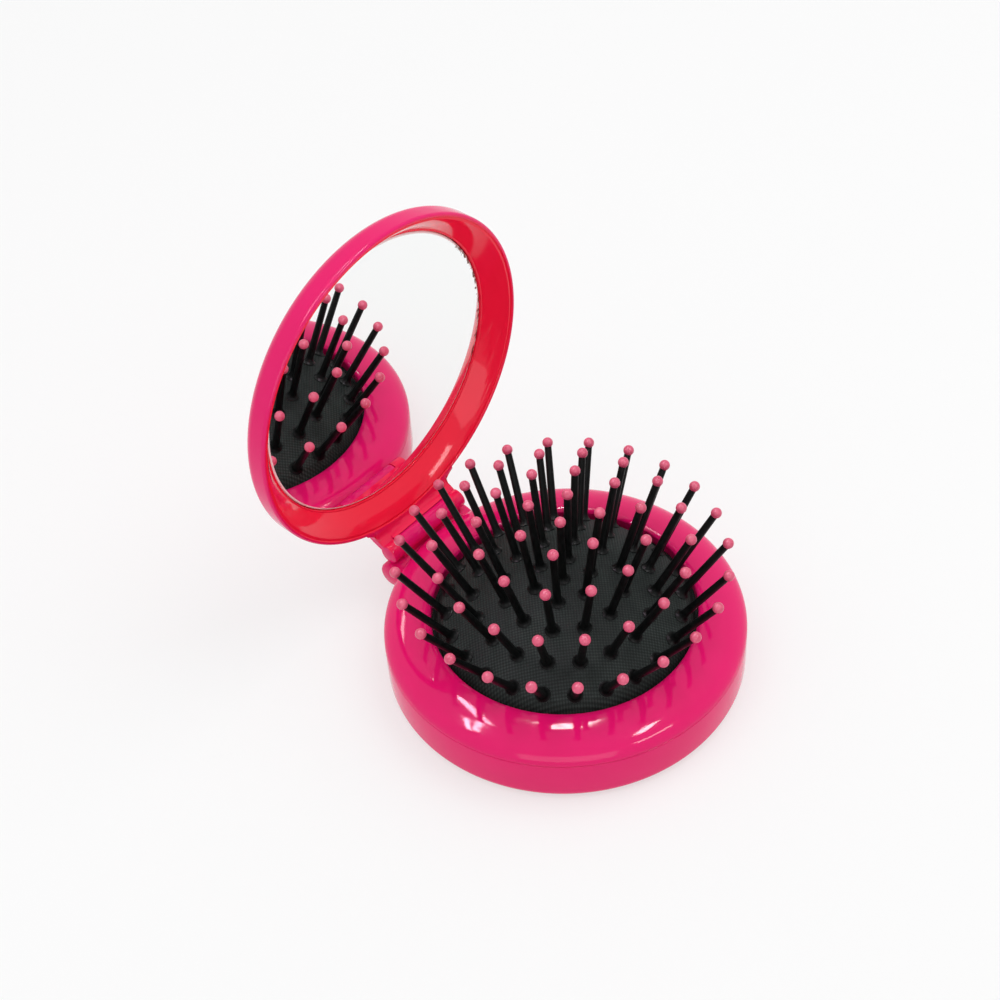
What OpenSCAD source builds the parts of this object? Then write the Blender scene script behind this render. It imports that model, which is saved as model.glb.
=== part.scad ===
// Folding pocket hairbrush with a mirror lid, shown open.
// A round base carries a rubber cushion with 61 ball-tipped pins. The lid stands upright on a
// pin hinge at the rear and holds a round mirror. The cushion snaps down and the pins lean
// inwards when the brush is closed, and a push button under the base pops them up again.
//
// Origin: centre of the base's bottom face. +Z is up and the hinge is at +Y. Millimetres.

/* [Base] */
// Outer radius of the base
base_r = 35; // [30:0.5:40]
// Wall thickness of the base
base_wall = 1.5; // [1:0.1:2.5]
// Thickness of the bottom plate
floor_t = 1.2; // [0.8:0.1:2]
// Radius of the rounded bottom edge
foot_r = 2.2; // [1:0.1:4]
// Height of the seam between base and top ring
seam_z = 9.5; // [8:0.1:11]
// Radius of the finger hole in the bottom
finger_r = 8; // [6:0.1:10]

/* [Top ring] */
// Height of the ring's crest
crest_z = 13.6; // [12:0.1:16]
// Radius of the ring's crest
crest_r = 27; // [26:0.1:30]
// Radius of the ring's opening
mouth_r = 25.6; // [24:0.1:27]
// Shell thickness of the ring
ring_wall = 1.4; // [1:0.1:2]

/* [Cushion] */
// Radius of the sphere that the cushion's top lies on
dome_r = 40; // [35:0.5:50]
// Height of the cushion's crown
crown_z = 21.5; // [18:0.1:24]
// Rubber thickness
pad_t = 1.2; // [0.8:0.1:2]
// Radius where the dome turns down towards its flange
dome_edge_r = 23.3; // [22:0.1:24.5]
// Top face of the flange
flange_z = 10.9; // [10:0.1:12]
// Outer radius of the flange
flange_r = 29; // [27:0.1:30]

/* [Pins] */
// Distance from the cushion's surface to the centre of a pin's ball
pin_len = 15.5; // [10:0.1:18]
// Shank radius
shank_r = 0.8; // [0.5:0.05:1]
// Ball radius
ball_r = 1; // [0.8:0.05:1.5]
// Radius of the flat head under the cushion
head_r = 1.2; // [1:0.05:1.6]
// Thickness of that head
head_t = 0.5; // [0.3:0.1:1]
// Radius of the collar where a pin leaves the cushion
collar_r = 1.5; // [1:0.1:2]
// Height of that collar
collar_h = 1.2; // [0.5:0.1:2]

/* [Lid] */
// Outer radius of the lid
lid_r = 34.3; // [30:0.1:40]
// Depth of the lid
lid_h = 7.9; // [7:0.1:12]
// Inner radius of the lid's lip
lip_r = 33.4; // [30:0.1:36]
// Radius of the mirror
mirror_r = 28.85; // [25:0.05:32]
// Depth of the mirror's face below the lip
mirror_w = 4.6; // [4:0.1:7]
// Thickness of the mirror glass
mirror_t = 1.2; // [1:0.1:2]
// Thickness of the adhesive disc behind the mirror
tape_t = 0.2; // [0.1:0.05:0.5]

/* [Hinge] */
// Distance of the hinge axis behind the base's axis
hinge_y = 36.78; // [35:0.01:40]
// Height of the hinge axis
hinge_z = 12.3; // [10:0.1:14]
// Radius of the hinge pin
hinge_pin_r = 0.8; // [0.6:0.05:1]
// Radius of the hinge barrel, on the base's knuckle and on the lid's two arms
barrel_r = 2; // [1.6:0.1:2.4]
// Half the width of the base's knuckle
knuckle_x = 7.3; // [5:0.1:9]
// Outer face of each of the lid's arms, from the middle
arm_x = 10.4; // [8:0.1:12]
// Half the width of the rounded block below the hinge
block_x = 11.3; // [10:0.1:13]
// Radius of that block's rounding
block_r = 2.7; // [2:0.1:3]
// Gap between the mouth plane of the upright lid and the hinge axis
lid_gap = 3.04; // [2:0.01:3.5]

/* [Button] */
// Radius of the push button
button_r = 7.4; // [6:0.1:8]
// Height of the button's lower face when the pins are up
button_z = 18.5; // [17:0.1:19]

/* [Hidden] */
$fn = 96;
e = 0.01;
dome_cz = crown_z - dome_r;
ring_polar = [0, 8, 16.6, 25.6, 34.2];
ring_count = [1, 6, 12, 18, 24];
flange_t = pad_t;
clamp_in = 25.4;
clamp_out = 32;
clamp_z = 8.2;
rib_n = 6;
rib_t = 1.4;
skirt_t = 1.1;
fit = 0.05;
lid_z = hinge_y + hinge_z;
lid_y = hinge_y + lid_gap;
wall_in = base_r - base_wall;
hole_gap = 0.05;
head_z = dome_r - pad_t - head_t - 0.05;
arm_gap = 0.2;

function pad2(i) = i < 10 ? str("0", i) : str(i);
// Points on an ellipse about (cr, cz), from angle a0 to a1
function arc(cr, cz, rr, rz, a0, a1, n) =
    [for (i = [0 : n]) let (a = a0 + (a1 - a0) * i / n) [cr + rr * cos(a), cz + rz * sin(a)]];
// Azimuth of pin k in a ring: each ring has a pin on the hinge's side
function pin_az(ring, k) = 90 + 360 / ring_count[ring] * k;

// ---------- Base ----------

module base_wall_profile() {
    polygon(concat(
        [[finger_r, 0]],
        arc(base_r - foot_r, foot_r, foot_r, foot_r, -90, 0, 12),
        [[base_r, seam_z], [wall_in, seam_z]],
        arc(wall_in - 1, floor_t + 1, 1, 1, 0, -90, 6),
        [[finger_r + 1, floor_t], [finger_r + 1, floor_t + 0.6], [finger_r, floor_t + 0.6]]));
}

// Ribs that carry the clamping ring
module ribs() {
    for (i = [0 : rib_n - 1]) rotate(360 / rib_n * i)
        translate([29.5, -rib_t / 2, floor_t - 0.2]) cube([wall_in - 29.5 + 0.3, rib_t, clamp_z - floor_t + 0.2]);
}

// Block below the hinge, on the wall, with a rounded back
module hinge_block() difference() {
    rotate([90, 0, 90]) translate([0, 0, -block_x]) linear_extrude(2 * block_x) {
        translate([36.1, 7.4]) circle(r = block_r);
        polygon([[33, 5.2], [36.1, 4.7], [36.1, 10.1], [33, 9.4]]);
    }
    cylinder(r = wall_in + 0.4, h = 20);
    translate([0, 0, seam_z - 0.1]) cylinder(r = base_r + 0.06, h = 5);
}

// Knuckle in the middle of the hinge, on a web
module knuckle() difference() {
    rotate([90, 0, 90]) translate([0, 0, -knuckle_x]) linear_extrude(2 * knuckle_x) {
        translate([hinge_y, hinge_z]) circle(r = barrel_r);
        polygon([[35.2, 8], [35.2, 11.2], [hinge_y, hinge_z], [hinge_y + 1.8, hinge_z - 0.8], [38.3, 8]]);
    }
    cylinder(r = base_r + 0.06, h = 11);
}

module base_shell() color("hotpink") difference() {
    union() {
        rotate_extrude() base_wall_profile();
        ribs();
        hinge_block();
        knuckle();
    }
    translate([-knuckle_x - 1, hinge_y, hinge_z]) rotate([0, 90, 0])
        cylinder(r = hinge_pin_r + 0.02, h = 2 * (knuckle_x + 1), $fn = 48);
}

module base_ring() color("deeppink") rotate_extrude() polygon(concat(
    arc(crest_r, seam_z, base_r - crest_r, crest_z - seam_z, 0, 90, 24),
    arc(crest_r, crest_z - 0.7, crest_r - mouth_r, 0.7, 105, 180, 6),
    [[mouth_r, flange_z], [flange_r + 0.4, flange_z]],
    arc(crest_r, seam_z, base_r - crest_r - ring_wall, crest_z - seam_z - ring_wall + 0.1, 68, 38, 8),
    [[wall_in - fit - skirt_t, clamp_z + 0.1], [wall_in - fit, clamp_z + 0.1], [wall_in - fit, seam_z]]));

module pad_clamp_ring() color("pink") translate([0, 0, clamp_z]) difference() {
    cylinder(r = clamp_out, h = flange_z - flange_t - clamp_z);
    translate([0, 0, -1]) cylinder(r = clamp_in, h = 5);
}

// ---------- Cushion and pins ----------

// Half-section of the rubber cushion: dome, steep foot and clamped flange
module pad_profile() {
    a_out = asin(dome_edge_r / dome_r);
    a_in = asin((dome_edge_r - 0.3) / (dome_r - pad_t));
    polygon(concat(
        [for (i = [0 : 24]) let (a = a_out * i / 24) [dome_r * sin(a), dome_r * cos(a) + dome_cz]],
        [[24.5, flange_z + 1.1], [25, flange_z], [flange_r, flange_z], [flange_r, flange_z - flange_t],
         [23.9, flange_z - flange_t], [23.2, flange_z + 0.7]],
        [for (i = [24 : -1 : 0]) let (a = a_in * i / 24)
            [(dome_r - pad_t) * sin(a), (dome_r - pad_t) * cos(a) + dome_cz]]));
}

// Places a child, drawn along +Z from the dome's centre, at one pin's place
module at_pin(ring, k) {
    translate([0, 0, dome_cz]) rotate([0, ring_polar[ring], pin_az(ring, k)]) children();
}

module bristle_pad() color([0.08, 0.1, 0.1]) difference() {
    rotate_extrude() pad_profile();
    for (ring = [0 : 4], k = [0 : ring_count[ring] - 1]) at_pin(ring, k)
        translate([0, 0, dome_r - 3]) cylinder(r = shank_r + hole_gap, h = 5, $fn = 32);
}

// One moulded pin: flat head, collar above the cushion, shank that narrows, ball tip
module pin(ring, k) color([0.12, 0.12, 0.13]) at_pin(ring, k) {
    translate([0, 0, head_z]) cylinder(r = head_r, h = head_t, $fn = 32);
    translate([0, 0, head_z + 0.1]) cylinder(r = shank_r, h = dome_r + 0.3 - head_z, $fn = 32);
    translate([0, 0, dome_r + 0.03]) cylinder(r1 = collar_r, r2 = shank_r + 0.05, h = collar_h, $fn = 32);
    translate([0, 0, dome_r + 0.2 - e]) cylinder(r1 = shank_r, r2 = 0.7, h = pin_len - 0.2, $fn = 32);
    translate([0, 0, dome_r + pin_len]) sphere(r = ball_r, $fn = 32);
}

module pins_centre() {
    pin(0, 0);
    for (k = [0 : 5]) pin(1, k);
}

module pins_pair(k) {
    pin(2, 2 * k - 1);
    pin(2, 2 * k);
}

module push_button() color("hotpink") difference() {
    intersection() {
        translate([0, 0, button_z]) cylinder(r = button_r, h = 5);
        translate([0, 0, dome_cz]) sphere(r = head_z - 0.1, $fn = 128);
    }
    // Shallow finger dish
    translate([0, 0, button_z + 0.35 - 60]) sphere(r = 60, $fn = 128);
}

// ---------- Lid ----------

// Stands a shape drawn along +Z upright on the hinge: depth runs towards +Y
module lid_place() {
    translate([0, lid_y, lid_z]) rotate([-90, 0, 0]) children();
}

module lid_body_profile() {
    polygon(concat(
        [[0, 0], [lid_r - 0.6, 0]],
        arc(lid_r - 0.6, 0.6, 0.6, 0.6, -90, 0, 6),
        arc(lid_r - 10.5, lid_h - 4.8, 10.5, 4.8, 0, 90, 24),
        [[0, lid_h]]));
}

// Space inside the lid: sloping wall down to a narrow ledge round the mirror's pocket
module lid_space_profile() {
    pocket_r = mirror_r + 0.15;
    ledge = 0.35;
    polygon(concat(
        [[0, -6], [lip_r, -6]],
        [for (i = [0 : 10]) let (t = i / 10)
            [lip_r - (lip_r - pocket_r - ledge) * pow(t, 0.8), (mirror_w - 0.25) * t]],
        [[pocket_r + 0.1, mirror_w - 0.15], [pocket_r, mirror_w], [pocket_r, mirror_w + mirror_t + tape_t], [0, mirror_w + mirror_t + tape_t]]));
}

// Outline of the hinge tongue seen from the side, as (y, z)
module tongue_outline() {
    polygon([[37.6, 14.1], [38.9, 14.4], [39.7, 15], [39.9, 16.2], [39.9, 18.5], [42.9, 18.5], [43.6, 15.6],
             [41.2, 13.7], [39.9, 12.95], [hinge_y + 1.97, hinge_z + 0.3], [hinge_y, hinge_z]]);
}

// Tongue below the lid: it flares towards the lid and ends in two arms beside the knuckle
module tongue() {
    difference() {
        intersection() {
            rotate([90, 0, 90]) translate([0, 0, -15]) linear_extrude(30) tongue_outline();
            translate([0, 60, 0]) rotate([90, 0, 0]) linear_extrude(60) polygon(concat(
                [[-arm_x, 9], [arm_x, 9], [arm_x, 14.4], [arm_x + 0.2, 15.3], [arm_x + 0.8, 16.2], [arm_x + 2, 17]],
                [[arm_x + 2, 24], [-arm_x - 2, 24]],
                [[-arm_x - 2, 17], [-arm_x - 0.8, 16.2], [-arm_x - 0.2, 15.3], [-arm_x, 14.4]]));
        }
        translate([-knuckle_x - arm_gap, hinge_y, hinge_z]) rotate([0, 90, 0])
            cylinder(r = barrel_r + arm_gap, h = 2 * (knuckle_x + arm_gap));
    }
    for (x = [-arm_x, knuckle_x + arm_gap]) translate([x, hinge_y, hinge_z]) rotate([0, 90, 0])
        cylinder(r = barrel_r, h = arm_x - knuckle_x - arm_gap);
}

module lid_shell() color("deeppink") difference() {
    union() {
        lid_place() rotate_extrude() lid_body_profile();
        tongue();
    }
    lid_place() rotate_extrude() lid_space_profile();
    // The pin's hole is blind in the left arm
    translate([-arm_x + 0.8, hinge_y, hinge_z]) rotate([0, 90, 0])
        cylinder(r = hinge_pin_r + 0.07, h = 24, $fn = 48);
}

module mirror_glass() color([0.85, 0.88, 0.9]) lid_place() translate([0, 0, mirror_w]) rotate_extrude()
    polygon([[0, 0], [mirror_r - 0.6, 0], [mirror_r, 0.35], [mirror_r, mirror_t], [0, mirror_t]]);

module mirror_tape() color("white") lid_place() translate([0, 0, mirror_w + mirror_t])
    cylinder(r = mirror_r - 0.6, h = tape_t);

module hinge_pin() color("silver") translate([-arm_x + 1, hinge_y, hinge_z]) rotate([0, 90, 0])
    cylinder(r = hinge_pin_r, h = 2 * arm_x - 1.2, $fn = 48);

// ---------- The object ----------

base_shell();
base_ring();
bristle_pad();
pad_clamp_ring();
push_button();
pins_centre();
lid_shell();
mirror_glass();  // mirror
mirror_tape();
hinge_pin();
for (k = [1 : 6])
    pins_pair(k);
for (ring = [3, 4], k = [1 : ring_count[ring]])
    pin(ring, k);
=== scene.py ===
"""Folding pocket hairbrush with a mirror lid, dressed for the studio.

The base holds a black rubber cushion with 61 ball-tipped pins, and the lid stands upright on
its hinge with a round mirror inside. Sizes are in millimetres in the classes below and are
turned into metres where meshes are made. The origin is the centre of the base's bottom face,
+Z is up and the hinge is at +Y.
"""

import logging
import math
from dataclasses import dataclass, field
from enum import Enum
from typing import Sequence

import bmesh
import bpy
from mathutils import Matrix, Vector


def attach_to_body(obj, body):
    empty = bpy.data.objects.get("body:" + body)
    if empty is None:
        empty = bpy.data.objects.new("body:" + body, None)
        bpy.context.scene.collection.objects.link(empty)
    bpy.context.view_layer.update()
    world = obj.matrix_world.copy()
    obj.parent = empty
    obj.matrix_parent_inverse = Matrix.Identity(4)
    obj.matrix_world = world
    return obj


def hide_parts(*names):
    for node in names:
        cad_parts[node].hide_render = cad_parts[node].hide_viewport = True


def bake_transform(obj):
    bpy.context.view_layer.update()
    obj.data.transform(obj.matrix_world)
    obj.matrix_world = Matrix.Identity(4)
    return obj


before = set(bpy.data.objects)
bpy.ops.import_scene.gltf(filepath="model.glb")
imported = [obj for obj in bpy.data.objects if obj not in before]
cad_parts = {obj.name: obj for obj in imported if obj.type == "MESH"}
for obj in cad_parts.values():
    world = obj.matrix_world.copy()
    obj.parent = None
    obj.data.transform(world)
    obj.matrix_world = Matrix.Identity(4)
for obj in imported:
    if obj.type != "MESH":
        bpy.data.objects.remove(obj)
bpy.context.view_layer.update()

LOG = logging.getLogger("hairbrush")
MM = 0.001
FULL_TURN = 2 * math.pi

Point2 = tuple[float, float]


class Body(Enum):
    """Rigid bodies of the brush that carry several pieces."""

    BASE = "base"
    LID = "lid"
    BUTTON = "button"


class Slot(Enum):
    """Names of the record's material slots."""

    PINK = "pink_plastic"
    RUBBER = "pad_rubber"
    PIN = "pin_plastic"
    MIRROR = "mirror"


# ---------------------------------------------------------------- shader helpers


class Shader:
    """A node tree with one Principled shader, built a node at a time."""

    def __init__(self, name: str) -> None:
        """Starts an empty material.

        Args:
            name: the material's name.
        """
        self.material = bpy.data.materials.new(name)
        self.material.use_nodes = True
        self.tree = self.material.node_tree
        self.tree.nodes.clear()
        self.output = self.add("ShaderNodeOutputMaterial")
        self.surface = self.add("ShaderNodeBsdfPrincipled")
        self.link(self.surface.outputs["BSDF"], self.output.inputs["Surface"])
        self.place = self.add("ShaderNodeTexCoord").outputs["Object"]

    def add(self, kind: str, **settings: object) -> bpy.types.Node:
        """Adds a node and sets its properties.

        Args:
            kind: Blender's name of the node type.
            settings: properties of the node.

        Returns:
            The new node.
        """
        node = self.tree.nodes.new(kind)
        for key, value in settings.items():
            setattr(node, key, value)
        return node

    def link(self, source: bpy.types.NodeSocket, target: bpy.types.NodeSocket) -> None:
        """Joins an output to an input."""
        self.tree.links.new(source, target)

    def noise(self, scale: float, detail: float = 4.0, roughness: float = 0.5) -> bpy.types.NodeSocket:
        """Adds noise in the piece's own coordinates.

        Args:
            scale: features per metre.
            detail: octaves of the noise.
            roughness: weight of the fine octaves.

        Returns:
            The factor output.
        """
        node = self.add("ShaderNodeTexNoise")
        node.inputs["Scale"].default_value = scale
        node.inputs["Detail"].default_value = detail
        node.inputs["Roughness"].default_value = roughness
        self.link(self.place, node.inputs["Vector"])
        return node.outputs["Fac"]

    def spread(self, source: bpy.types.NodeSocket, low: float, high: float,
               start: float = 0.3, end: float = 0.7) -> bpy.types.NodeSocket:
        """Maps a 0 to 1 signal onto a range.

        Args:
            source: the signal.
            low: value at start.
            high: value at end.
            start: signal that gives low.
            end: signal that gives high.

        Returns:
            The mapped value.
        """
        node = self.add("ShaderNodeMapRange")
        for key, value in (("From Min", start), ("From Max", end), ("To Min", low), ("To Max", high)):
            node.inputs[key].default_value = value
        self.link(source, node.inputs["Value"])
        return node.outputs["Result"]

    def math(self, operation: str, first: bpy.types.NodeSocket | float,
             second: bpy.types.NodeSocket | float = 0.0) -> bpy.types.NodeSocket:
        """Adds a Math node.

        Args:
            operation: Blender's name of the operation.
            first: first operand.
            second: second operand.

        Returns:
            The result.
        """
        node = self.add("ShaderNodeMath", operation=operation)
        for place, operand in enumerate((first, second)):
            if isinstance(operand, (int, float)):
                node.inputs[place].default_value = operand
            else:
                self.link(operand, node.inputs[place])
        return node.outputs[0]

    def axes(self) -> tuple[bpy.types.NodeSocket, ...]:
        """Splits the piece's own coordinates into x, y and z."""
        node = self.add("ShaderNodeSeparateXYZ")
        self.link(self.place, node.inputs[0])
        return tuple(node.outputs)

    def radius(self, centre_z_mm: float) -> bpy.types.NodeSocket:
        """Distance from an axis that runs along Y above the origin.

        Args:
            centre_z_mm: height of the axis, in millimetres.

        Returns:
            The distance in metres.
        """
        x, _, z = self.axes()
        lift = self.math("SUBTRACT", z, centre_z_mm * MM)
        square = self.math("ADD", self.math("MULTIPLY", x, x), self.math("MULTIPLY", lift, lift))
        return self.math("POWER", square, 0.5)

    def blend(self, factor: bpy.types.NodeSocket, low: Sequence[float],
              high: Sequence[float]) -> bpy.types.NodeSocket:
        """Mixes two colours.

        Args:
            factor: 0 for low, 1 for high.
            low: first colour, linear RGB.
            high: second colour, linear RGB.

        Returns:
            The mixed colour.
        """
        node = self.add("ShaderNodeMix", data_type="RGBA")
        node.inputs["A"].default_value = (*low, 1)
        node.inputs["B"].default_value = (*high, 1)
        self.link(factor, node.inputs["Factor"])
        return node.outputs["Result"]

    def bump(self, height: bpy.types.NodeSocket, depth_mm: float,
             below: bpy.types.NodeSocket | None = None) -> bpy.types.NodeSocket:
        """Raises the surface by a height signal.

        Args:
            height: the signal, 0 to 1.
            depth_mm: height of 1, in millimetres.
            below: normal of a coarser bump, if there is one.

        Returns:
            The bent normal.
        """
        node = self.add("ShaderNodeBump")
        node.inputs["Strength"].default_value = 1.0
        node.inputs["Distance"].default_value = depth_mm * MM
        self.link(height, node.inputs["Height"])
        if below is not None:
            self.link(below, node.inputs["Normal"])
        return node.outputs["Normal"]

    def set(self, **values: object) -> None:
        """Sets sockets of the Principled shader: constants directly, sockets by a link.

        Args:
            values: socket names with underscores for spaces, and their values.
        """
        for key, value in values.items():
            socket = self.surface.inputs[key.replace("_", " ")]
            if isinstance(value, bpy.types.NodeSocket):
                self.link(value, socket)
            elif isinstance(value, (tuple, list)):
                socket.default_value = (*value, 1) if len(value) == 3 else value
            else:
                socket.default_value = value


# ---------------------------------------------------------------- finishes


@dataclass(frozen=True)
class GlossPlastic:
    """Injection-moulded glossy plastic with faint flow marks and fine handling haze."""

    name: str
    colour: tuple[float, float, float]
    deep_colour: tuple[float, float, float]
    roughness: float = 0.07
    specular: float = 0.24

    def tint(self, shader: Shader) -> bpy.types.NodeSocket:
        """Colour of the plastic with its flow marks."""
        flow = shader.spread(shader.noise(scale=45, detail=3), 0, 1)
        return shader.blend(flow, self.deep_colour, self.colour)

    def material(self) -> bpy.types.Material:
        """Builds the material."""
        shader = Shader(self.name)
        haze = shader.noise(scale=600, detail=5)
        ripple = shader.noise(scale=140, detail=2)
        grain = shader.noise(scale=5000, detail=2)
        normal = shader.bump(ripple, depth_mm=0.008)
        shader.set(
            Base_Color=self.tint(shader),
            Roughness=shader.spread(haze, self.roughness * 0.7, self.roughness * 1.4),
            Specular_IOR_Level=self.specular,
            IOR=1.49,
            Normal=shader.bump(grain, depth_mm=0.0005, below=normal),
        )
        return shader.material


@dataclass(frozen=True)
class BowlPlastic(GlossPlastic):
    """The plastic inside the lid and on its tongue, with painted bounce light: a deeper red painted where
    light bouncing between the pink surfaces reddens it.
    """

    # deep red of the painted bounce light
    inner: tuple[float, float, float] = (0.94, 0.011, 0.046)
    centre_z_mm: float = 49.08
    inner_r_mm: float = 33.4
    outer_r_mm: float = 34.1
    # heights where the painted bounce light on the tongue starts, is full, fades and ends
    tongue_bounce_z_mm: tuple[float, float, float, float] = (12.4, 14.4, 15.5, 17.5)
    tongue_bounce_share: float = 0.7

    def tint(self, shader: Shader) -> bpy.types.NodeSocket:
        """Colour by distance from the lid's axis, with painted bounce light: deeper red inside and on the
        tongue's middle.
        """
        _, _, z = shader.axes()
        # painted bounce light: full inside the lip's radius, none at the outer rim
        bowl = shader.spread(shader.radius(self.centre_z_mm), 1, 0, self.inner_r_mm * MM, self.outer_r_mm * MM)
        # painted bounce light on the tongue's middle, by height
        low, full, fading, high = (height * MM for height in self.tongue_bounce_z_mm)
        tongue = shader.math("MINIMUM", shader.spread(z, 0, self.tongue_bounce_share, low, full),
                             shader.spread(z, self.tongue_bounce_share, 0, fading, high))
        mixed = shader.blend(shader.math("MAXIMUM", bowl, tongue), self.colour, self.inner)
        shader.link(GlossPlastic.tint(self, shader), mixed.node.inputs["A"])
        return mixed


@dataclass(frozen=True)
class CushionRubber:
    """Black rubber with an embossed square weave whose raised tops are painted lighter in random patches,
    partly dust and partly painted sheen.
    """

    name: str = "cushion rubber"
    colour: tuple[float, float, float] = (0.0022, 0.0036, 0.0034)
    # lighter colour of the weave's tops: dust and painted sheen
    dust_and_sheen: tuple[float, float, float] = (0.0440, 0.0560, 0.0520)
    pitch_mm: float = 0.76

    def material(self) -> bpy.types.Material:
        """Builds the material."""
        shader = Shader(self.name)
        x, y, _ = shader.axes()
        turn = FULL_TURN / (self.pitch_mm * MM)
        ridges = [shader.math("SINE", shader.math("MULTIPLY", side, turn)) for side in (x, y)]
        weave = shader.math("MULTIPLY", *ridges)
        height = shader.math("MULTIPLY_ADD", weave, 0.5)
        height.node.inputs[2].default_value = 0.5
        dust = shader.noise(scale=75, detail=5, roughness=0.65)
        # painted sheen: the weave's raised tops take the lighter colour
        raised = shader.spread(height, 0.3, 1.0, 0.35, 0.85)
        tone = shader.math("MULTIPLY", shader.spread(dust, 0.2, 1.0), raised)
        coarse = shader.bump(shader.noise(scale=260, detail=3), depth_mm=0.05)
        shader.set(
            Base_Color=shader.blend(tone, self.colour, self.dust_and_sheen),
            Roughness=shader.spread(dust, 0.5, 0.68),
            Specular_IOR_Level=0.12,
            Normal=shader.bump(height, depth_mm=0.07, below=coarse),
        )
        return shader.material


@dataclass(frozen=True)
class SmallPartFinish:
    """Finish of a small part: one noise gives its two tones, its roughness and its fine relief."""

    name: str
    deep_colour: tuple[float, float, float]
    colour: tuple[float, float, float]
    scale: float
    detail: float
    roughness: tuple[float, float]
    relief_mm: float
    tones: tuple[float, float] = (0.3, 0.7)
    specular: float = 0.5
    metallic: float = 0.0

    def material(self) -> bpy.types.Material:
        """Builds the material."""
        shader = Shader(self.name)
        mottle = shader.noise(scale=self.scale, detail=self.detail)
        tone = shader.spread(mottle, 0, 1, *self.tones)
        shader.set(
            Base_Color=shader.blend(tone, self.deep_colour, self.colour),
            Roughness=shader.spread(mottle, *self.roughness),
            Specular_IOR_Level=self.specular,
            Metallic=self.metallic,
            Normal=shader.bump(mottle, depth_mm=self.relief_mm),
        )
        return shader.material


PIN_NYLON = SmallPartFinish("pin nylon", (0.0018, 0.0022, 0.0022), (0.0050, 0.0055, 0.0055), scale=900,
                            detail=4, roughness=(0.28, 0.42), relief_mm=0.01, specular=0.14)
BALL_TIP = SmallPartFinish("ball tip", (0.62, 0.060, 0.140), (0.76, 0.105, 0.205), scale=700,
                           detail=3, roughness=(0.26, 0.4), relief_mm=0.02)
HINGE_STEEL = SmallPartFinish("hinge steel", (0.44, 0.44, 0.448), (0.55, 0.55, 0.56), scale=3000,
                              detail=3, roughness=(0.25, 0.4), relief_mm=0.004, tones=(0, 1), metallic=1.0)
FOAM_TAPE = SmallPartFinish("adhesive foam", (0.72, 0.71, 0.68), (0.86, 0.85, 0.83), scale=2500,
                            detail=4, roughness=(0.8, 0.8), relief_mm=0.03, tones=(0, 1))


@dataclass(frozen=True)
class MirrorGlass:
    """Silvered glass with a pale ground edge and brown flecks in the silvering on its right side."""

    name: str = "mirror glass"
    centre_z_mm: float = 49.08
    edge_mm: float = 28.42
    silver: tuple[float, float, float] = (0.955, 0.965, 0.96)
    ground: tuple[float, float, float] = (1.0, 0.88, 0.88)
    fleck: tuple[float, float, float] = (0.16, 0.05, 0.03)
    fleck_from_x_mm: float = 21.0
    fleck_full_x_mm: float = 25.0

    def material(self) -> bpy.types.Material:
        """Builds the material."""
        shader = Shader(self.name)
        x, _, _ = shader.axes()
        radius = shader.radius(self.centre_z_mm)
        edge = shader.spread(radius, 0, 1, self.edge_mm * MM, (self.edge_mm + 0.04) * MM)
        ragged = shader.spread(shader.noise(scale=900, detail=5), -0.00035, 0.00035)
        border = shader.spread(shader.math("ADD", radius, ragged), 0, 1,
                               (self.edge_mm - 0.4) * MM, (self.edge_mm - 0.1) * MM)
        side = shader.spread(x, 0.0, 1.0, self.fleck_from_x_mm * MM, self.fleck_full_x_mm * MM)
        spots = shader.spread(shader.noise(scale=1300, detail=3), 0, 1, 0.48, 0.6)
        flecks = shader.math("MULTIPLY", shader.math("MULTIPLY", border, side), spots)
        faced = shader.blend(edge, self.silver, self.ground)
        colour = shader.blend(flecks, self.silver, self.fleck)
        shader.link(faced, colour.node.inputs["A"])
        haze = shader.noise(scale=70, detail=4)
        shader.set(
            Base_Color=colour,
            Metallic=shader.math("SUBTRACT", 1.0, edge),
            Roughness=shader.math("ADD", shader.spread(haze, 0.0, 0.012),
                                  shader.math("MULTIPLY", edge, 0.3)),
        )
        return shader.material


@dataclass
class Finishes:
    """All the finishes, each built once."""

    ring: bpy.types.Material = field(init=False)
    bowl: bpy.types.Material = field(init=False)
    rubber: bpy.types.Material = field(init=False)
    pin: bpy.types.Material = field(init=False)
    ball: bpy.types.Material = field(init=False)
    mirror: bpy.types.Material = field(init=False)
    steel: bpy.types.Material = field(init=False)
    tape: bpy.types.Material = field(init=False)

    def __post_init__(self) -> None:
        """Builds the materials."""
        pinks = (0.80, 0.007, 0.150), (0.76, 0.005, 0.132)
        self.ring = GlossPlastic("pink plastic", *pinks).material()
        # the lid's plastic, with painted bounce light
        self.bowl = BowlPlastic("pink plastic inside the lid", *pinks).material()
        self.rubber = CushionRubber().material()
        self.pin = PIN_NYLON.material()
        self.ball = BALL_TIP.material()
        self.mirror = MirrorGlass().material()
        self.steel = HINGE_STEEL.material()
        self.tape = FOAM_TAPE.material()


# ---------------------------------------------------------------- mesh helpers


def arc(centre: Point2, radii: Point2, start: float, end: float, steps: int) -> list[Point2]:
    """Points on an ellipse.

    Args:
        centre: its centre, as radius and height.
        radii: its two half-axes.
        start: first angle in degrees.
        end: last angle in degrees.
        steps: number of stretches.

    Returns:
        The points, ends included.
    """
    angles = [math.radians(start + (end - start) * i / steps) for i in range(steps + 1)]
    return [(centre[0] + radii[0] * math.cos(a), centre[1] + radii[1] * math.sin(a)) for a in angles]


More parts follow.
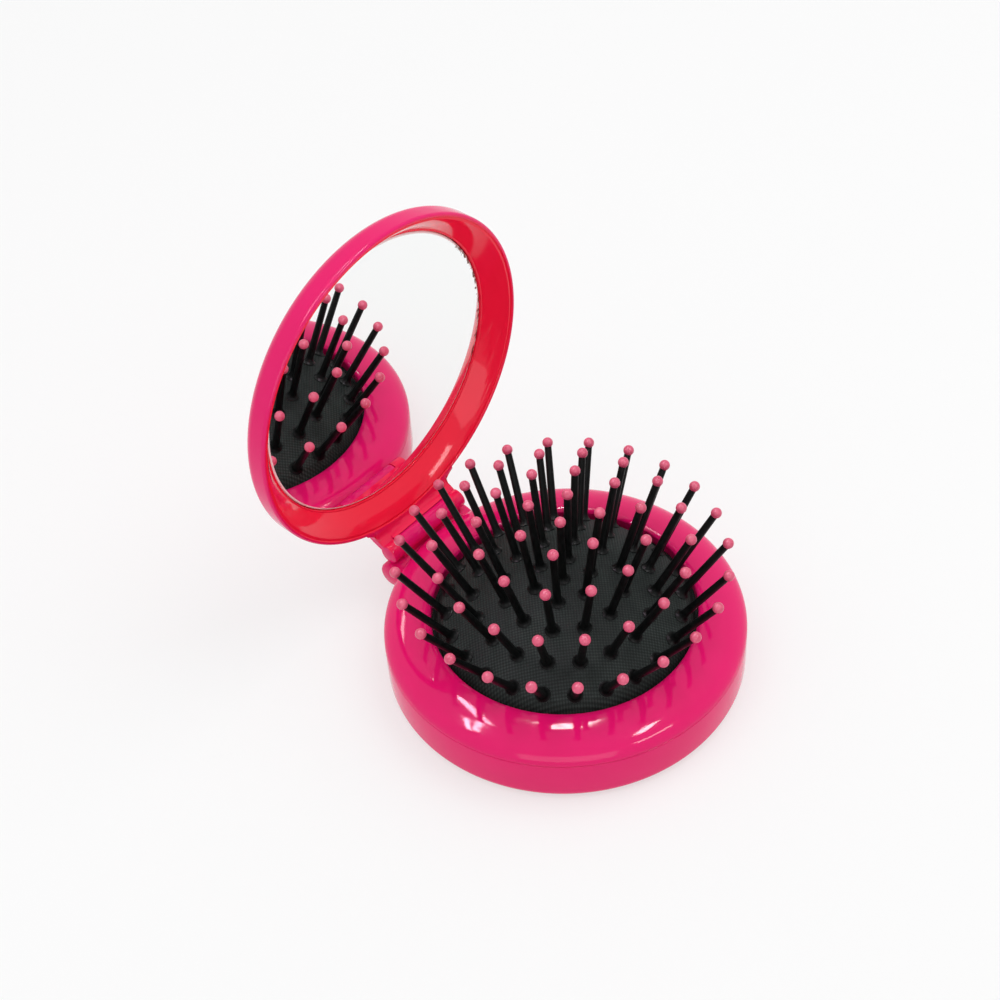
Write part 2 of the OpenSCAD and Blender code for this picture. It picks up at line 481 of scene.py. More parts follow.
def lathe(bm: bmesh.types.BMesh, profile: Sequence[Point2], steps: int,
          closed: bool = True) -> list[bmesh.types.BMFace]:
    """Turns a half-section round the Z axis.

    Args:
        bm: the mesh that receives the faces.
        profile: points as radius and height, in millimetres.
        steps: stretches round the axis.
        closed: whether the last point joins the first.

    Returns:
        The new faces.
    """
    old = set(bm.faces)
    verts = [bm.verts.new((r * MM, 0, z * MM)) for r, z in profile]
    pairs = list(zip(verts, verts[1:] + verts[:1] if closed else verts[1:]))
    edges = [bm.edges.new(pair) for pair in pairs]
    bmesh.ops.spin(bm, geom=verts + edges, cent=(0, 0, 0), axis=(0, 0, 1), dvec=(0, 0, 0),
                   angle=FULL_TURN, steps=steps, use_merge=True, use_duplicate=False)
    bmesh.ops.remove_doubles(bm, verts=bm.verts, dist=1e-6)
    bmesh.ops.dissolve_degenerate(bm, edges=bm.edges, dist=1e-7)
    return [f for f in bm.faces if f not in old]


def merge(bm: bmesh.types.BMesh, part: bmesh.types.BMesh) -> None:
    """Adds a finished part to a mesh.

    Args:
        bm: the mesh that receives the part.
        part: the part; it is freed.
    """
    mesh = bpy.data.meshes.new("part")
    part.to_mesh(mesh)
    part.free()
    bm.from_mesh(mesh)
    bpy.data.meshes.remove(mesh)


def piece_from(bm: bmesh.types.BMesh, name: str, materials: Sequence[bpy.types.Material],
               sharp_degrees: float = 38.0) -> bpy.types.Object:
    """Closes a bmesh into a smooth-shaded object with crisp edges kept.

    Args:
        bm: the mesh, in metres; it is freed.
        name: the piece's name.
        materials: its materials, in the order of the faces' material numbers.
        sharp_degrees: edges that fold more than this stay crisp.

    Returns:
        The new object.
    """
    bmesh.ops.recalc_face_normals(bm, faces=bm.faces)
    for face in bm.faces:
        face.smooth = True
    for edge in bm.edges:
        edge.smooth = edge.calc_face_angle(0.0) < math.radians(sharp_degrees)
    mesh = bpy.data.meshes.new(name)
    bm.to_mesh(mesh)
    bm.free()
    for material in materials:
        mesh.materials.append(material)
    made = bpy.data.objects.new(name, mesh)
    bpy.context.scene.collection.objects.link(made)
    return made


def dress_node(node: str, material: bpy.types.Material) -> None:
    """Gives a carried-over solid its finish.

    Args:
        node: the solid's name.
        material: the finish for all its faces.
    """
    solid = bpy.data.objects[node]
    if not solid.material_slots:
        solid.data.materials.append(material)
    for place in solid.material_slots:
        place.material = material


def attach(piece: bpy.types.Object, body: str, slot: Slot, *nodes: str) -> None:
    """Fixes a piece to a body and hides the solids that it stands for.

    Args:
        piece: the piece.
        body: the body's name.
        slot: the record's slot for the piece; not used.
        nodes: solids that it replaces.
    """
    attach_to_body(piece, body)
    if nodes:
        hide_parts(*nodes)
    LOG.info("%s rides on %s with %d faces", piece.name, body, len(piece.data.polygons))


# ---------------------------------------------------------------- base


@dataclass
class HingeSizes:
    """Hinge between base and lid, in millimetres: the base's knuckle between the lid's two arms."""

    axis_y: float = 36.78
    axis_z: float = 12.3
    barrel_r: float = 2.0
    bore_r: float = 0.87
    knuckle_half: float = 7.3
    arm_gap: float = 0.2
    arm_half: float = 10.4
    arm_cap: float = 0.8
    hollow_r: float = 2.2
    arm_hollow_r: float = 1.3
    block_half: float = 11.3
    block_y: float = 36.1
    block_z: float = 7.4
    block_r: float = 2.7


@dataclass
class Base:
    """Base shell and top ring."""

    finishes: Finishes
    hinge: HingeSizes
    outer_r: float = 35.0
    wall: float = 1.5
    floor_t: float = 1.2
    foot_r: float = 2.2
    seam_z: float = 9.5
    seam_gap: float = 0.06
    finger_r: float = 8.0
    edge_r: float = 0.25
    corner_r: float = 1.0
    collar_w: float = 1.0
    collar_h: float = 0.6
    collar_bevel: float = 0.15
    crest_r: float = 27.0
    crest_z: float = 13.6
    mouth_r: float = 25.6
    lip_h: float = 0.7
    ring_wall: float = 1.4
    seat_r: float = 29.4
    skirt_z: float = 8.3
    flange_z: float = 10.9
    steps: int = 192

    def build(self) -> None:
        """Builds the shell and the ring, and dresses the hidden pieces."""
        self.shell()
        self.ring()
        dress_node("pad_clamp_ring", self.finishes.ring)
        dress_node("push_button", self.finishes.ring)

    def shell(self) -> None:
        """Builds the bottom plate, wall, ribs and hinge knuckle as one piece."""
        inner = self.outer_r - self.wall
        top = self.seam_z - self.seam_gap / 2
        edge, corner, bevel = self.edge_r, self.corner_r, self.collar_bevel
        collar_r, collar_z = self.finger_r + self.collar_w, self.floor_t + self.collar_h
        bm = bmesh.new()
        lathe(bm, [
            (self.finger_r + edge, 0),
            *arc((self.outer_r - self.foot_r, self.foot_r), (self.foot_r, self.foot_r), -90, 0, 12),
            *arc((self.outer_r - edge, top - edge), (edge, edge), 0, 90, 5),
            (inner, top),
            *arc((inner - corner, self.floor_t + corner), (corner, corner), 0, -90, 6),
            (collar_r, self.floor_t), (collar_r, collar_z - bevel),
            (collar_r - bevel, collar_z), (self.finger_r + bevel, collar_z),
            (self.finger_r, collar_z - bevel), (self.finger_r, edge),
        ], self.steps)
        for turn in range(6):
            self.rib(bm, FULL_TURN * turn / 6, inner)
        self.block(bm)
        self.knuckle(bm)
        made = piece_from(bm, "base_shell_skin", [self.finishes.ring])
        attach(made, Body.BASE.value, Slot.PINK, "base_shell")

    def rib(self, bm: bmesh.types.BMesh, turn: float, inner: float) -> None:
        """Adds one rib under the clamping ring.

        Args:
            bm: the shell's mesh.
            turn: its azimuth in radians.
            inner: inner radius of the wall.
        """
        inside, outside, low, high, thick = 29.5, inner + 0.3, self.floor_t - 0.2, 8.2, 1.4
        size = Vector((outside - inside, thick, high - low)) * MM
        middle = Vector((outside + inside, 0, high + low)) / 2 * MM
        verts = bmesh.ops.create_cube(bm, size=1.0)["verts"]
        bmesh.ops.scale(bm, verts=verts, vec=size)
        bmesh.ops.translate(bm, verts=verts, vec=middle)
        bmesh.ops.rotate(bm, verts=verts, cent=(0, 0, 0), matrix=Matrix.Rotation(turn, 3, "Z"))

    def block(self, bm: bmesh.types.BMesh) -> None:
        """Adds the rounded block below the hinge, fitted to the wall.

        Args:
            bm: the shell's mesh.
        """
        h = self.hinge
        wall_r, outside_r = 34.3, 35.1
        low_z, shoulder_z, seat_z, high_z = 5.4, 9.95, 9.42, 9.4
        half = [(0, 0), (0.3, 0), (0.6, 0), (0.95, 0), (0.985, 0.25), (1, 0.6)]
        sections = []
        for share, shrink in [(-share, shrink) for share, shrink in reversed(half[1:])] + half:
            x = share * h.block_half
            wall, outside = math.sqrt(wall_r ** 2 - x ** 2), math.sqrt(outside_r ** 2 - x ** 2)
            round_r = h.block_r - shrink
            outline = [
                (wall, low_z + shrink),
                *arc((h.block_y, h.block_z), (round_r, round_r), -90, 90, 18),
                (max(outside, h.block_y - 0.9), shoulder_z - shrink),
                (outside, seat_z - shrink), (wall, high_z - shrink),
            ]
            sections.append((x, outline))
        loft_sections(bm, sections)

    def knuckle(self, bm: bmesh.types.BMesh) -> None:
        """Adds the knuckle in the middle of the hinge, on its web.

        Args:
            bm: the shell's mesh.
        """
        h = self.hinge
        web = [(35.2, 8.6), (38.2, 8.6)]
        barrel = arc((h.axis_y, h.axis_z), (h.barrel_r, h.barrel_r), -38, 218, 30)
        extrude_outline(bm, [*barrel, *web], -h.knuckle_half, h.knuckle_half, bevel_mm=0.2)

    def ring(self) -> None:
        """Builds the top ring with its rounded crest."""
        skirt_out = self.outer_r - self.wall - 0.05
        skirt_in = skirt_out - 1.1
        low, chamfer = self.seam_z + self.seam_gap / 2, 0.12
        wide, high = self.outer_r - self.crest_r, self.crest_z - self.seam_z
        bm = bmesh.new()
        lathe(bm, [
            (self.outer_r - chamfer, low), (self.outer_r - 0.02, low + chamfer),
            *arc((self.crest_r, self.seam_z), (wide, high), 4, 90, 36),
            *arc((self.crest_r, self.crest_z - self.lip_h), (self.crest_r - self.mouth_r, self.lip_h),
                 105, 180, 10),
            (self.mouth_r, self.flange_z + 0.2), (self.mouth_r + 0.2, self.flange_z),
            (self.seat_r, self.flange_z),
            *arc((self.crest_r, self.seam_z), (wide - self.ring_wall, high - self.ring_wall + 0.1), 68, 38, 8),
            (skirt_in, self.skirt_z), (skirt_out, self.skirt_z), (skirt_out, low),
        ], self.steps)
        made = piece_from(bm, "base_ring_skin", [self.finishes.ring])
        attach(made, Body.BASE.value, Slot.PINK, "base_ring")


def extrude_outline(bm: bmesh.types.BMesh, outline: Sequence[Point2], start_x: float, end_x: float,
                    bevel_mm: float) -> None:
    """Extrudes an outline in the YZ plane along X, with rounded edges.

    Args:
        bm: the mesh that receives the block.
        outline: points as y and z, in millimetres.
        start_x: one end along X, in millimetres.
        end_x: the other end.
        bevel_mm: width of the rounding.
    """
    block = bmesh.new()
    face = block.faces.new([block.verts.new((start_x * MM, y * MM, z * MM)) for y, z in outline])
    grown = bmesh.ops.extrude_face_region(block, geom=[face])
    moved = [g for g in grown["geom"] if isinstance(g, bmesh.types.BMVert)]
    bmesh.ops.translate(block, verts=moved, vec=((end_x - start_x) * MM, 0, 0))
    bmesh.ops.recalc_face_normals(block, faces=block.faces)
    corners = [e for e in block.edges if e.calc_face_angle(0.0) > math.radians(30)]
    bmesh.ops.bevel(block, geom=corners, offset=bevel_mm * MM, affect="EDGES", segments=3, profile=0.5,
                    material=-1, clamp_overlap=True)
    merge(bm, block)


def loft_sections(bm: bmesh.types.BMesh, sections: Sequence[tuple[float, Sequence[Point2]]]) -> None:
    """Joins outlines that stand one behind the other along X into a closed form.

    Args:
        bm: the mesh that receives the form.
        sections: x and outline as y and z, in millimetres; all outlines have as many points.
    """
    form = bmesh.new()
    loops = []
    for x, outline in sections:
        ring = [form.verts.new((x * MM, y * MM, z * MM)) for y, z in outline]
        loops.append([form.edges.new(pair) for pair in zip(ring, ring[1:] + ring[:1])])
    for near, far in zip(loops, loops[1:]):
        bmesh.ops.bridge_loops(form, edges=near + far)
    bmesh.ops.holes_fill(form, edges=loops[0] + loops[-1], sides=0)
    bmesh.ops.remove_doubles(form, verts=form.verts, dist=2e-6)
    bmesh.ops.dissolve_degenerate(form, edges=form.edges, dist=1e-7)
    bmesh.ops.recalc_face_normals(form, faces=form.faces)
    merge(bm, form)


def along(curve: Sequence[Point2], place: float) -> float:
    """Value of a curve between its points, which are given as place and value."""
    for (low, first), (high, last) in zip(curve, curve[1:]):
        if place <= high:
            return first + (last - first) * max(0.0, place - low) / (high - low)
    return curve[-1][1]


# ---------------------------------------------------------------- cushion and pins


@dataclass
class Cushion:
    """Rubber cushion: a snapping dome and the steep skirt that joins it to its flange."""

    finishes: Finishes
    dome_r: float = 40.0
    crown_z: float = 21.5
    thick: float = 1.2
    edge_r: float = 23.3
    flange_z: float = 10.9
    flange_r: float = 29.0
    fold_low_z: float = 6.2
    fold_high_z: float = 22.6
    skirt_fold: float = 6.54
    skirt_curve: tuple[Point2, ...] = ((23.8, 13.2), (24.2, 12.5), (24.5, 12.0), (24.8, 11.3))
    steps: int = 160

    def build(self) -> None:
        """Builds the dome and the skirt, hides the cushion's solid and bakes their placement into their
        meshes.
        """
        dome, skirt = self.dome(), self.skirt()
        for piece in (dome, skirt):
            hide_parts("bristle_pad")
        self.fold(dome)
        self.fold(skirt)
        LOG.info("cushion dome and skirt bend between the base and the button")

    def fold(self, piece: bpy.types.Object) -> None:
        """Bakes a piece's placement into its mesh.

        Args:
            piece: the dome or the skirt.
        """
        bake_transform(piece)

    def sphere_arc(self, radius: float, edge: float, steps: int) -> list[Point2]:
        """Half-section of a sphere about the dome's centre, from the axis to an edge radius."""
        centre_z = self.crown_z - self.dome_r
        last = math.degrees(math.acos(edge / radius))
        return arc((0, centre_z), (radius, radius), 90, last, steps)

    def dome(self) -> bpy.types.Object:
        """Builds the dome, 1.2 mm thick."""
        outside = self.sphere_arc(self.dome_r, self.edge_r, 40)
        inside = self.sphere_arc(self.dome_r - self.thick, self.edge_r - 0.3, 40)
        bm = bmesh.new()
        lathe(bm, [*outside, *reversed(inside)], self.steps, closed=False)
        return piece_from(bm, "cushion_dome", [self.finishes.rubber])

    def skirt(self) -> bpy.types.Object:
        """Builds the skirt and its clamped flange."""
        top_out = self.sphere_arc(self.dome_r, self.edge_r, 1)[-1]
        top_in = self.sphere_arc(self.dome_r - self.thick, self.edge_r - 0.3, 1)[-1]
        low = self.flange_z - self.thick
        bm = bmesh.new()
        lathe(bm, [
            top_out, *self.skirt_curve, (25.0, self.flange_z),
            (self.flange_r, self.flange_z), (self.flange_r, low), (23.9, low), (23.2, 11.6), top_in,
        ], self.steps)
        return piece_from(bm, "cushion_skirt", [self.finishes.rubber])


@dataclass
class PinShape:
    """One moulded pin, drawn along Z from the cushion's sphere centre, in millimetres.

    The collar's points are radii and heights above the cushion's surface.
    """

    surface: float = 40.0
    length: float = 15.5
    collar: tuple[Point2, ...] = ((1.5, -0.1), (1.5, 0.12), (1.15, 0.35), (0.92, 0.8), (0.8, 1.5))
    shank_r: float = 0.8
    neck_r: float = 0.7
    neck_h: float = 0.9
    ball_r: float = 1.06
    head_r: float = 1.2
    head_t: float = 0.5
    pad_t: float = 1.25
    steps: int = 24

    def add(self, bm: bmesh.types.BMesh, place: Matrix) -> None:
        """Adds a pin to a mesh: shaft faces get material 0, ball faces material 1.

        Args:
            bm: the mesh that receives the pin.
            place: where the pin's axis goes.
        """
        single = bmesh.new()
        under, tip = self.surface - self.pad_t, self.surface + self.length
        collar = [(r, self.surface + above) for r, above in self.collar]
        shaft = [
            (0, under - self.head_t), (self.head_r, under - self.head_t), (self.head_r, under),
            (self.shank_r, under), (self.shank_r, collar[0][1]), *collar,
            (self.neck_r, tip - self.neck_h), (self.neck_r, tip), (0, tip),
        ]
        for face in lathe(single, shaft, self.steps, closed=False):
            face.material_index = 0
        ball = bmesh.ops.create_uvsphere(single, u_segments=self.steps, v_segments=14,
                                         radius=self.ball_r * MM)
        bmesh.ops.translate(single, verts=ball["verts"], vec=(0, 0, tip * MM))
        for vert in ball["verts"]:
            for face in vert.link_faces:
                face.material_index = 1
        bmesh.ops.transform(single, matrix=place, verts=single.verts)
        merge(bm, single)


@dataclass
class Pins:
    """The 61 pins in five rings, grouped by the body that moves them."""

    finishes: Finishes
    shape: PinShape = field(default_factory=PinShape)
    sphere_z: float = -18.5
    polar: tuple[float, ...] = (0.0, 8.0, 16.6, 25.6, 34.2)
    count: tuple[int, ...] = (1, 6, 12, 18, 24)

    def place(self, ring: int, index: int) -> Matrix:
        """Places a pin: every ring has one on the hinge's side.

        Args:
            ring: number of the ring, 0 in the middle.
            index: number of the pin in it.

        Returns:
            The matrix that puts a pin drawn along Z in its place.
        """
        azimuth = math.radians(90 + 360 / self.count[ring] * index)
        tilt = Matrix.Rotation(azimuth, 4, "Z") @ Matrix.Rotation(math.radians(self.polar[ring]), 4, "Y")
        return Matrix.Translation((0, 0, self.sphere_z * MM)) @ tilt

    def group(self, node: str, body: str, members: Sequence[tuple[int, int]]) -> None:
        """Builds the pins of one node as one piece.

        Args:
            node: the solid that they replace.
            body: the body that moves them.
            members: pairs of ring and index.
        """
        bm = bmesh.new()
        for ring, index in members:
            self.shape.add(bm, self.place(ring, index))
        made = piece_from(bm, f"{node}_skin", [self.finishes.pin, self.finishes.ball])
        attach(made, body, Slot.PIN, node)

    def build(self) -> None:
        """Builds every group."""
        centre = [(0, 0), *((1, index) for index in range(self.count[1]))]
        self.group("pins_centre", Body.BUTTON.value, centre)
        for pair in range(1, 7):
            node = f"pins_ring2_{pair}"
            self.group(node, node, [(2, 2 * pair - 1), (2, 2 * pair)])
        for ring in (3, 4):
            for index in range(1, self.count[ring] + 1):
                node = f"pin_ring{ring}_{index:02d}"
                self.group(node, node, [(ring, index)])


# ---------------------------------------------------------------- lid


@dataclass
class Lid:
    """Lid shell with its hinge tongue, the mirror and the adhesive behind it."""

    finishes: Finishes
    hinge: HingeSizes
    outer_r: float = 34.3
    depth: float = 7.9
    lip_r: float = 33.4
    mouth_y: float = 39.82
    centre_z: float = 49.08
    mirror_r: float = 28.85
    mirror_depth: float = 4.6
    mirror_t: float = 1.2
    tape_t: float = 0.2
    ledge: float = 0.35
    bead_r: float = 0.14
    lip_round: float = 0.35
    rim: Point2 = (0.5, 0.6)
    shoulder: Point2 = (10.5, 4.8)
    tongue_front: tuple[Point2, ...] = (
        (12.3, 36.8), (14.1, 37.6), (14.4, 38.9), (14.8, 39.5), (15.3, 39.77), (18.5, 39.79))
    tongue_back: tuple[Point2, ...] = (
        (12.3, 38.6), (12.95, 39.9), (13.7, 41.2), (15.6, 43.6), (18.5, 43.2))
    steps: int = 192

    def upright(self) -> Matrix:
        """Matrix that stands a shape turned about Z upright, its depth towards +Y."""
        place = Matrix.Translation((0, self.mouth_y * MM, self.centre_z * MM))
        return place @ Matrix.Rotation(-math.pi / 2, 4, "X")

    def build(self) -> None:
        """Builds the shell and the mirror, and dresses the hidden pieces."""
        self.shell()
        self.mirror()
        dress_node("mirror_tape", self.finishes.tape)
        dress_node("hinge_pin", self.finishes.steel)

    def shell(self) -> None:
        """Builds the dished shell with the tongue below it."""
        pocket = self.mirror_r + 0.15
        foot_z, inward_w, slope_steps = self.mirror_depth - 0.25, self.lip_r - pocket - self.ledge, 14
        shares = [i / slope_steps for i in range(1, slope_steps + 1)]
        slope = [(self.lip_r - inward_w * share ** 0.8, foot_z * share) for share in shares]
        bead_z = self.mirror_depth - 0.1
        bead = arc((pocket + self.bead_r, bead_z), (self.bead_r, self.bead_r), 90, 180, 4)
        floor = self.mirror_depth + self.mirror_t + self.tape_t
        rim_w, rim_h = self.rim
        shoulder_w, shoulder_h = self.shoulder
        bm = bmesh.new()
        lathe(bm, [
            (0, floor), (pocket, floor), *((r, 2 * bead_z - z) for r, z in reversed(bead)),
            *reversed(slope),
            *arc((self.lip_r + self.lip_round, self.lip_round), (self.lip_round, self.lip_round), 180, 270, 6),
            *arc((self.outer_r - rim_w, rim_h), (rim_w, rim_h), -90, 0, 10),
            *arc((self.outer_r - shoulder_w, self.depth - shoulder_h), (shoulder_w, shoulder_h), 0, 90, 32),
            (0, self.depth),
        ], self.steps, closed=False)
        bmesh.ops.transform(bm, matrix=self.upright(), verts=bm.verts)
        self.tongue(bm)
        for side in (-1, 1):
            self.arm(bm, side)
        bmesh.ops.recalc_face_normals(bm, faces=bm.faces)
        # faces that face the mouth or point inwards take the material with the painted bounce light
        for face in bm.faces:
            away = face.calc_center_median() - Vector((0, 0, self.centre_z * MM))
            outwards = face.normal.x * away.x + face.normal.z * away.z
            inward = outwards < -0.2 * math.hypot(away.x, away.z)
            face.material_index = 1 if face.normal.y < -0.05 or inward else 0
        materials = [self.finishes.ring, self.finishes.bowl]
        attach(piece_from(bm, "lid_shell_skin", materials), Body.LID.value, Slot.PINK, "lid_shell")

    def arm(self, bm: bmesh.types.BMesh, side: int) -> None:
        """Adds the round end of one hinge arm; the pin's hole is blind in the left one.

        Args:
            bm: the lid's mesh.
            side: -1 for the left arm, 1 for the right one.
        """
        h = self.hinge
        near, far = h.knuckle_half + h.arm_gap, h.arm_half
        barrel = bmesh.new()
        small, large, steps = 0.1, 0.35, 48
        rim = [(h.barrel_r - small, near), (h.barrel_r, near + small), (h.barrel_r, far - large),
               (h.barrel_r - small, far - small), (h.barrel_r - large, far)]
        if side < 0:
            end = far - h.arm_cap
            lathe(barrel, [(0, end), (h.bore_r, end), (h.bore_r, near), *rim, (0, far)], steps, closed=False)
        else:
            lathe(barrel, [(h.bore_r, near), *rim, (h.bore_r, far)], steps)
        turn = Matrix.Translation((0, h.axis_y * MM, h.axis_z * MM))
        turn @= Matrix.Rotation(side * math.pi / 2, 4, "Y")
        bmesh.ops.transform(barrel, matrix=turn, verts=barrel.verts)
        merge(bm, barrel)

    def tongue(self, bm: bmesh.types.BMesh) -> None:
        """Adds the tongue that flares from the two arms into the lid's wall.

        Args:
            bm: the lid's mesh.
        """
        h = self.hinge
        inner_x = h.knuckle_half + h.arm_gap
        middle = [(x, h.hollow_r, h.axis_z, 0.0) for x in (0, 2.5, 5.0, inner_x)]
        arm_places = ((inner_x, 0.0), (h.arm_half - 0.4, 0.0), (h.arm_half - 0.12, 0.1), (h.arm_half, 0.3))
        arms = [(x, h.arm_hollow_r, h.axis_z, inset) for x, inset in arm_places]
        flare_places = ((0.06, 14.8, 0.2), (0.2, 15.4, 0.1), (0.45, 15.85, 0.0),
                        (0.8, 16.2, 0.0), (1.3, 16.6, 0.0), (2.0, 17.0, 0.0))
        flares = [(h.arm_half + over, 0.0, low, inset) for over, low, inset in flare_places]
        half = middle + arms + flares
        chain = [(-x, *rest) for x, *rest in reversed(half)] + half[1:]
        loft_sections(bm, [(x, self.tongue_section(abs(x), *rest)) for x, *rest in chain])

    def tongue_section(self, x: float, hollow_r: float, low: float, inset: float) -> list[Point2]:
        """Outline of the tongue at one place across it.

        Args:
            x: distance from the middle, in millimetres.
            hollow_r: radius of the hollow about the hinge axis, or 0 where the tongue ends above it.
            low: height where the outline ends, if there is no hollow.
            inset: how far its edges are drawn in.

        Returns:
            The outline as y and z.
        """
        h = self.hinge
        top = self.centre_z - math.sqrt((self.lip_r + 0.03) ** 2 - x ** 2)
        if hollow_r:
            start, end = math.radians(68), math.radians(9)
            turns = [end + (start - end) * i / 8 for i in range(9)]
            centre = Vector((h.axis_y, h.axis_z))
            bottom = [tuple(centre + hollow_r * Vector((math.cos(a), math.sin(a)))) for a in turns]
            low = bottom[-1][1]
            rise = [14.36, 14.5, 14.8, 15.3]
        else:
            rear, fore = along(self.tongue_back, low) - inset, along(self.tongue_front, low) + inset
            bottom = [(rear + (fore - rear) * i / 8, low) for i in range(9)]
            rise = [low + (top - 0.35 - low) * i / 4 for i in range(4)]
        rise.append(top - 0.35)
        brow = along(self.tongue_front, top) + inset
        crest = [(brow + 0.1, top - 0.1), (brow + 0.35, top), (brow + 0.7, top), (41.5, top), (43.1, top)]
        lowest = max(low + 0.1, 12.75)
        fall = [top - 0.4 - (top - 0.4 - lowest) * i / 4 for i in range(5)]

        def drawn_in(z: float) -> float:
            """How far an edge is drawn in at a height: less towards the lid."""
            return inset * min(1.0, max(0.0, 16.5 - z))

        return [*bottom, *((along(self.tongue_front, z) + drawn_in(z), z) for z in rise), *crest,
                *((along(self.tongue_back, z) - drawn_in(z), z) for z in fall)]

    def mirror(self) -> None:
        """Builds the bevelled glass disc."""
        front, back = self.mirror_depth, self.mirror_depth + self.mirror_t
        bm = bmesh.new()
        lathe(bm, [
            (0, front), (self.mirror_r - 0.42, front), (self.mirror_r - 0.12, front + 0.12),
            (self.mirror_r, front + 0.32), (self.mirror_r, back), (0, back),
        ], self.steps, closed=False)
        bmesh.ops.transform(bm, matrix=self.upright(), verts=bm.verts)
        made = piece_from(bm, "mirror_skin", [self.finishes.mirror], sharp_degrees=12)
        attach(made, Body.LID.value, Slot.MIRROR, "mirror")


# ---------------------------------------------------------------- studio

LILAC = (1.0, 0.78, 0.96)


@dataclass
class Camera:
    """Camera at the photograph's viewing angle."""

    azimuth_deg: float = 44.28
    elevation_deg: float = 45.47
    roll_deg: float = -4.44
    distance_mm: float = 415.6
    target_mm: tuple[float, float, float] = (23.56, 37.86, 0.0)
    lens_mm: float = 70.6
    sensor_mm: float = 36.0

    def build(self) -> None:
        """Makes the camera and looks at the target."""
        a, e, roll = (math.radians(v) for v in (self.azimuth_deg, self.elevation_deg, self.roll_deg))
        forward = Vector((math.cos(a) * math.cos(e), math.sin(a) * math.cos(e), -math.sin(e)))
        level = Vector((math.sin(a), -math.cos(a), 0))
        raised = level.cross(forward)
        right = level * math.cos(roll) + raised * math.sin(roll)
        up = raised * math.cos(roll) - level * math.sin(roll)
        data = bpy.data.cameras.new("camera")
        data.lens, data.sensor_width = self.lens_mm, self.sensor_mm
        data.clip_start, data.clip_end = 0.01, 20
        camera = bpy.data.objects.new("camera", data)
        turn = Matrix((right, up, -forward)).transposed().to_4x4()
        place = (Vector(self.target_mm) - forward * self.distance_mm) * MM
        camera.matrix_world = Matrix.Translation(place) @ turn
        bpy.context.scene.collection.objects.link(camera)
        bpy.context.scene.camera = camera
        LOG.info("camera stands %.0f mm from the target", self.distance_mm)


@dataclass(frozen=True)
class Softbox:
    """A rectangular studio light that looks at the brush: it lights it, or shows in its gloss."""

    name: str
    azimuth_deg: float
    elevation_deg: float
    distance_mm: float
    width_mm: float
    height_mm: float
    watts: float
    turn_deg: float = 0.0
    gloss_only: bool = False
    colour: tuple[float, float, float] = (1.0, 1.0, 1.0)
    aim_z_mm: float = 12.0

    def build(self) -> None:
        """Makes the light."""
        a, e = math.radians(self.azimuth_deg), math.radians(self.elevation_deg)
        away = Vector((math.cos(a) * math.cos(e), math.sin(a) * math.cos(e), math.sin(e)))
        data = bpy.data.lights.new(self.name, "AREA")
        data.shape = "RECTANGLE"
        data.size, data.size_y = self.width_mm * MM, self.height_mm * MM
        data.energy = self.watts
        data.color = self.colour
        lamp = bpy.data.objects.new(self.name, data)
        lamp.visible_diffuse = not self.gloss_only
        lamp.visible_glossy = self.gloss_only
        turn = Matrix.Rotation(math.radians(self.turn_deg), 3, "Z").to_quaternion()
        aim = (away.to_track_quat("Z", "Y") @ turn).to_matrix().to_4x4()
        place = (away * self.distance_mm + Vector((0, 0, self.aim_z_mm))) * MM
        lamp.matrix_world = Matrix.Translation(place) @ aim
        bpy.context.scene.collection.objects.link(lamp)
        LOG.info("light %s", self.name)


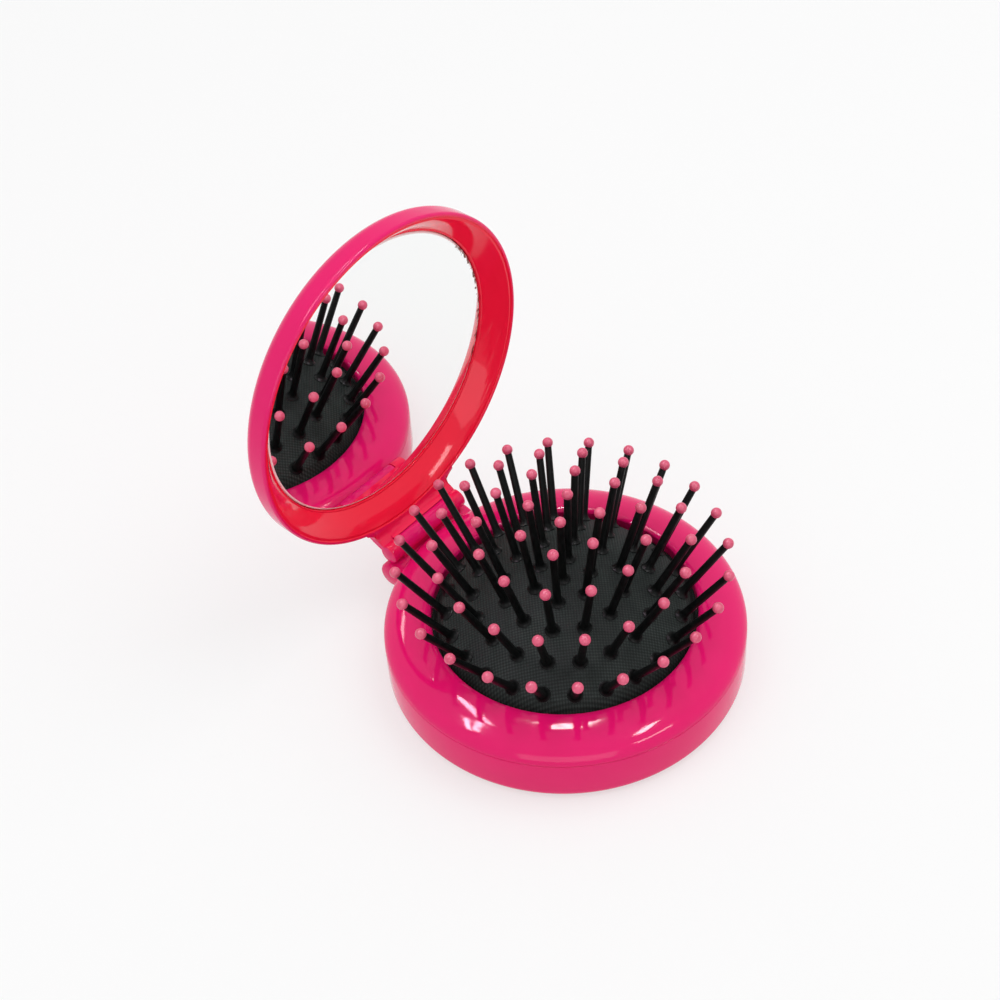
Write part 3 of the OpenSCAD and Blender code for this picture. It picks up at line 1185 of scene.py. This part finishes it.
@dataclass
class Studio:
    """Pale floor, soft world light and the softboxes whose reflections the gloss shows."""

    floor_half_m: float = 3.0
    floor_glow: float = 0.6
    world_strength: float = 0.72
    softboxes: tuple[Softbox, ...] = (
        Softbox("key light", -25, 62, 900, 600, 600, 2.4),
        Softbox("fill light", 160, 62, 900, 600, 600, 1.5),
        Softbox("window one", 83, 66, 700, 230, 36, 1.1, turn_deg=38, gloss_only=True, colour=LILAC),
        Softbox("window two upper", 137, 59, 700, 270, 24, 1.1, turn_deg=-37, gloss_only=True, colour=LILAC),
        Softbox("window two lower", 135, 64, 700, 270, 24, 1.1, turn_deg=-37, gloss_only=True, colour=LILAC),
        Softbox("window three left", 47.5, 67, 700, 18, 120, 0.32, gloss_only=True),
        Softbox("window three middle", 42.5, 67, 700, 18, 120, 0.32, gloss_only=True),
        Softbox("window three right", 37.5, 67, 700, 18, 120, 0.32, gloss_only=True),
        Softbox("window four", -70, 65, 700, 150, 55, 1.0, turn_deg=20, gloss_only=True),
        Softbox("window five", -88, 41, 700, 230, 60, 0.6, gloss_only=True),
        Softbox("room window", -140, 22, 900, 800, 500, 2.4, gloss_only=True),
    )

    def build(self) -> None:
        """Makes the floor, the world and the lights."""
        self.floor()
        self.world()
        for softbox in self.softboxes:
            softbox.build()

    def floor(self) -> None:
        """Makes the white table top: what is seen of it mixes its lit surface with plain white."""
        bm = bmesh.new()
        bmesh.ops.create_grid(bm, x_segments=1, y_segments=1, size=self.floor_half_m)
        bmesh.ops.translate(bm, verts=bm.verts, vec=(0, 0, -0.02 * MM))
        shader = Shader("white table")
        cloud = shader.noise(scale=4, detail=2)
        shader.set(Base_Color=shader.blend(cloud, (0.90, 0.90, 0.90), (0.93, 0.93, 0.93)),
                   Roughness=0.7, Specular_IOR_Level=0.2)
        glow = shader.add("ShaderNodeEmission")
        glow.inputs["Color"].default_value = (0.95, 0.952, 0.952, 1)
        path = shader.add("ShaderNodeLightPath")
        seen = shader.math("MAXIMUM", path.outputs["Is Camera Ray"], path.outputs["Is Glossy Ray"])
        mix = shader.add("ShaderNodeMixShader")
        shader.link(shader.math("MULTIPLY", seen, self.floor_glow), mix.inputs[0])
        shader.link(shader.surface.outputs["BSDF"], mix.inputs[1])
        shader.link(glow.outputs[0], mix.inputs[2])
        shader.link(mix.outputs[0], shader.output.inputs["Surface"])
        piece_from(bm, "table_top", [shader.material])

    def world(self) -> None:
        """Lights the room evenly and shows white to the camera, to gloss and to the mirror."""
        world = bpy.data.worlds.new("studio")
        bpy.context.scene.world = world
        world.use_nodes = True
        tree = world.node_tree
        tree.nodes.clear()
        output = tree.nodes.new("ShaderNodeOutputWorld")
        seen, room, mix = (tree.nodes.new(kind) for kind in
                           ("ShaderNodeBackground", "ShaderNodeBackground", "ShaderNodeMixShader"))
        seen.inputs["Strength"].default_value = 1.0
        seen.inputs["Color"].default_value = (0.96, 0.965, 0.965, 1)
        room.inputs["Strength"].default_value = self.world_strength
        room.inputs["Color"].default_value = (1, 1, 1, 1)
        path = tree.nodes.new("ShaderNodeLightPath")
        glossy, clear = (tree.nodes.new("ShaderNodeMath") for _ in range(2))
        glossy.operation = clear.operation = "MAXIMUM"
        tree.links.new(path.outputs["Is Camera Ray"], glossy.inputs[0])
        tree.links.new(path.outputs["Is Glossy Ray"], glossy.inputs[1])
        tree.links.new(glossy.outputs[0], clear.inputs[0])
        tree.links.new(path.outputs["Is Transmission Ray"], clear.inputs[1])
        tree.links.new(clear.outputs[0], mix.inputs[0])
        tree.links.new(room.outputs[0], mix.inputs[1])
        tree.links.new(seen.outputs[0], mix.inputs[2])
        tree.links.new(mix.outputs[0], output.inputs["Surface"])


# ---------------------------------------------------------------- the whole brush


def main() -> None:
    """Builds the camera, the brush and the studio in order."""
    logging.basicConfig(level=logging.INFO, format="%(name)s: %(message)s")
    bpy.context.scene.view_settings.view_transform = "Standard"
    Camera().build()
    finishes = Finishes()
    hinge = HingeSizes()
    Base(finishes, hinge).build()
    Cushion(finishes).build()
    Pins(finishes).build()
    Lid(finishes, hinge).build()
    Studio().build()


if __name__ == "__main__":
    main()
